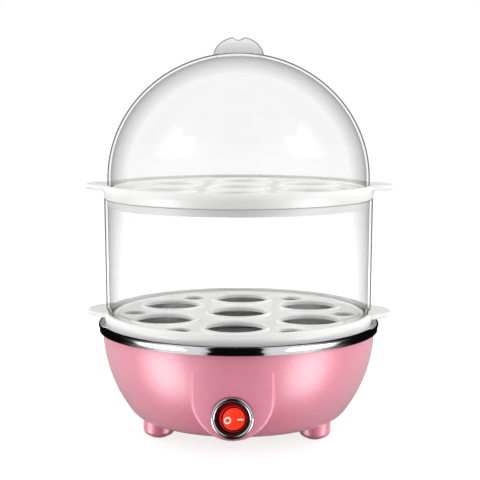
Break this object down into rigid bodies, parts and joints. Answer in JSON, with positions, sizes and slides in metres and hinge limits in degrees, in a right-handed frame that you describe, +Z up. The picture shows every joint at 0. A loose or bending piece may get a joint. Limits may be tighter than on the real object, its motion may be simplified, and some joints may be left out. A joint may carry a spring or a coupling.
{
  "type": "egg cooker",
  "caption": "Electric egg steamer with a round heated base, stacked perforated egg trays, a clear spacer ring, a clear domed lid with a grip and a round rocker switch.",
  "frame": {"origin": "on the surface that the three foot pads stand on, on the vertical axis of the round body", "axes": "+Z up, -Y towards the switch at the front, X through the trays' two finger tabs"},
  "size_m": [0.18, 0.164, 0.2295],
  "materials": {
    "pink_shell": "glossy pearl pink polypropylene",
    "pink_cover": "satin pink polypropylene",
    "plated_screw": "zinc plated",
    "pad_rubber": "moulded rubber, matt",
    "stainless": "mirror polished stainless sheet",
    "silicone": "translucent silicone",
    "bracket_steel": "galvanised sheet",
    "cast_aluminium": "as cast",
    "heater_steel": "annealed, dark",
    "bead_ceramic": "matt",
    "black_phenolic": "moulded phenolic",
    "terminal_brass": "stamped",
    "fuse_can": "drawn can",
    "glass_braid": "woven glass-fibre sleeve",
    "black_nylon": "moulded nylon",
    "bezel_chrome": "bright plated ring",
    "red_rocker": "translucent red polycarbonate",
    "white_nylon": "moulded nylon",
    "spring_steel": "drawn wire",
    "lamp_glass": "small glass envelope",
    "grommet_rubber": "moulded rubber",
    "sleeve_vinyl": "soft vinyl",
    "brown_insulation": "silicone insulation",
    "white_insulation": "silicone insulation",
    "blue_insulation": "silicone insulation",
    "white_tray": "satin white polypropylene",
    "clear_plastic": "clear moulded polycarbonate"
  },
  "bodies": {
    "base": {"base_shell": "pink_shell", "bottom_cover": "pink_cover", "bottom_cover_screws": "plated_screw", "foot_pads": "pad_rubber", "heating_dish": "stainless", "dish_seal": "silicone", "dish_brackets": "bracket_steel", "dish_nuts": "plated_screw", "dish_screws": "plated_screw", "heat_spreader": "cast_aluminium", "heater_tube": "heater_steel", "heater_seals": "bead_ceramic", "heater_pins": "heater_steel", "thermostat_cap": "cast_aluminium", "thermostat_body": "black_phenolic", "thermostat_blades": "terminal_brass", "thermostat_bracket": "bracket_steel", "thermostat_screws": "plated_screw", "thermal_fuse": "fuse_can", "fuse_sleeve": "glass_braid", "switch_housing": "black_nylon", "switch_bezel": "bezel_chrome", "switch_blades": "terminal_brass", "neon_lamp": "lamp_glass", "cord_grommet": "grommet_rubber", "terminal_block": "white_nylon", "terminal_screws": "plated_screw", "spade_sleeves": "sleeve_vinyl", "live_lead": "brown_insulation", "switched_lead": "brown_insulation", "fuse_lead": "white_insulation", "heater_lead": "white_insulation", "neutral_lead": "blue_insulation"},
    "lower_tray": {"lower_egg_tray": "white_tray"},
    "spacer": {"spacer_ring": "clear_plastic"},
    "upper_tray": {"upper_egg_tray": "white_tray"},
    "lid": {"dome_lid": "clear_plastic"},
    "rocker": {"switch_rocker": "red_rocker", "rocker_plunger": "white_nylon", "plunger_spring": "spring_steel"},
    "lever": {"contact_lever": "terminal_brass"}
  },
  "joints": [
    {"name": "lower_tray_lift", "type": "slide", "parent": "base", "child": "lower_tray", "axis": [0, 0, 1], "range_m": [0, 0.04]},
    {"name": "spacer_lift", "type": "slide", "parent": "lower_tray", "child": "spacer", "axis": [0, 0, 1], "range_m": [0, 0.09]},
    {"name": "upper_tray_lift", "type": "slide", "parent": "spacer", "child": "upper_tray", "axis": [0, 0, 1], "range_m": [0, 0.06]},
    {"name": "lid_lift", "type": "slide", "parent": "upper_tray", "child": "lid", "axis": [0, 0, 1], "range_m": [0, 0.1]},
    {"name": "rocker_tilt", "type": "hinge", "parent": "base", "child": "rocker", "pos_m": [0, -0.0757, 0.025], "axis": [0, 0, 1], "range_deg": [-20, 0]},
    {"name": "lever_tilt", "type": "hinge", "parent": "base", "child": "lever", "pos_m": [0, -0.0677, 0.025], "axis": [0, 0, 1], "range_deg": [0, 10]}
  ],
  "couplings": [
    {"joint": "lever_tilt", "follows": "rocker_tilt", "ratio": -0.5}
  ]
}
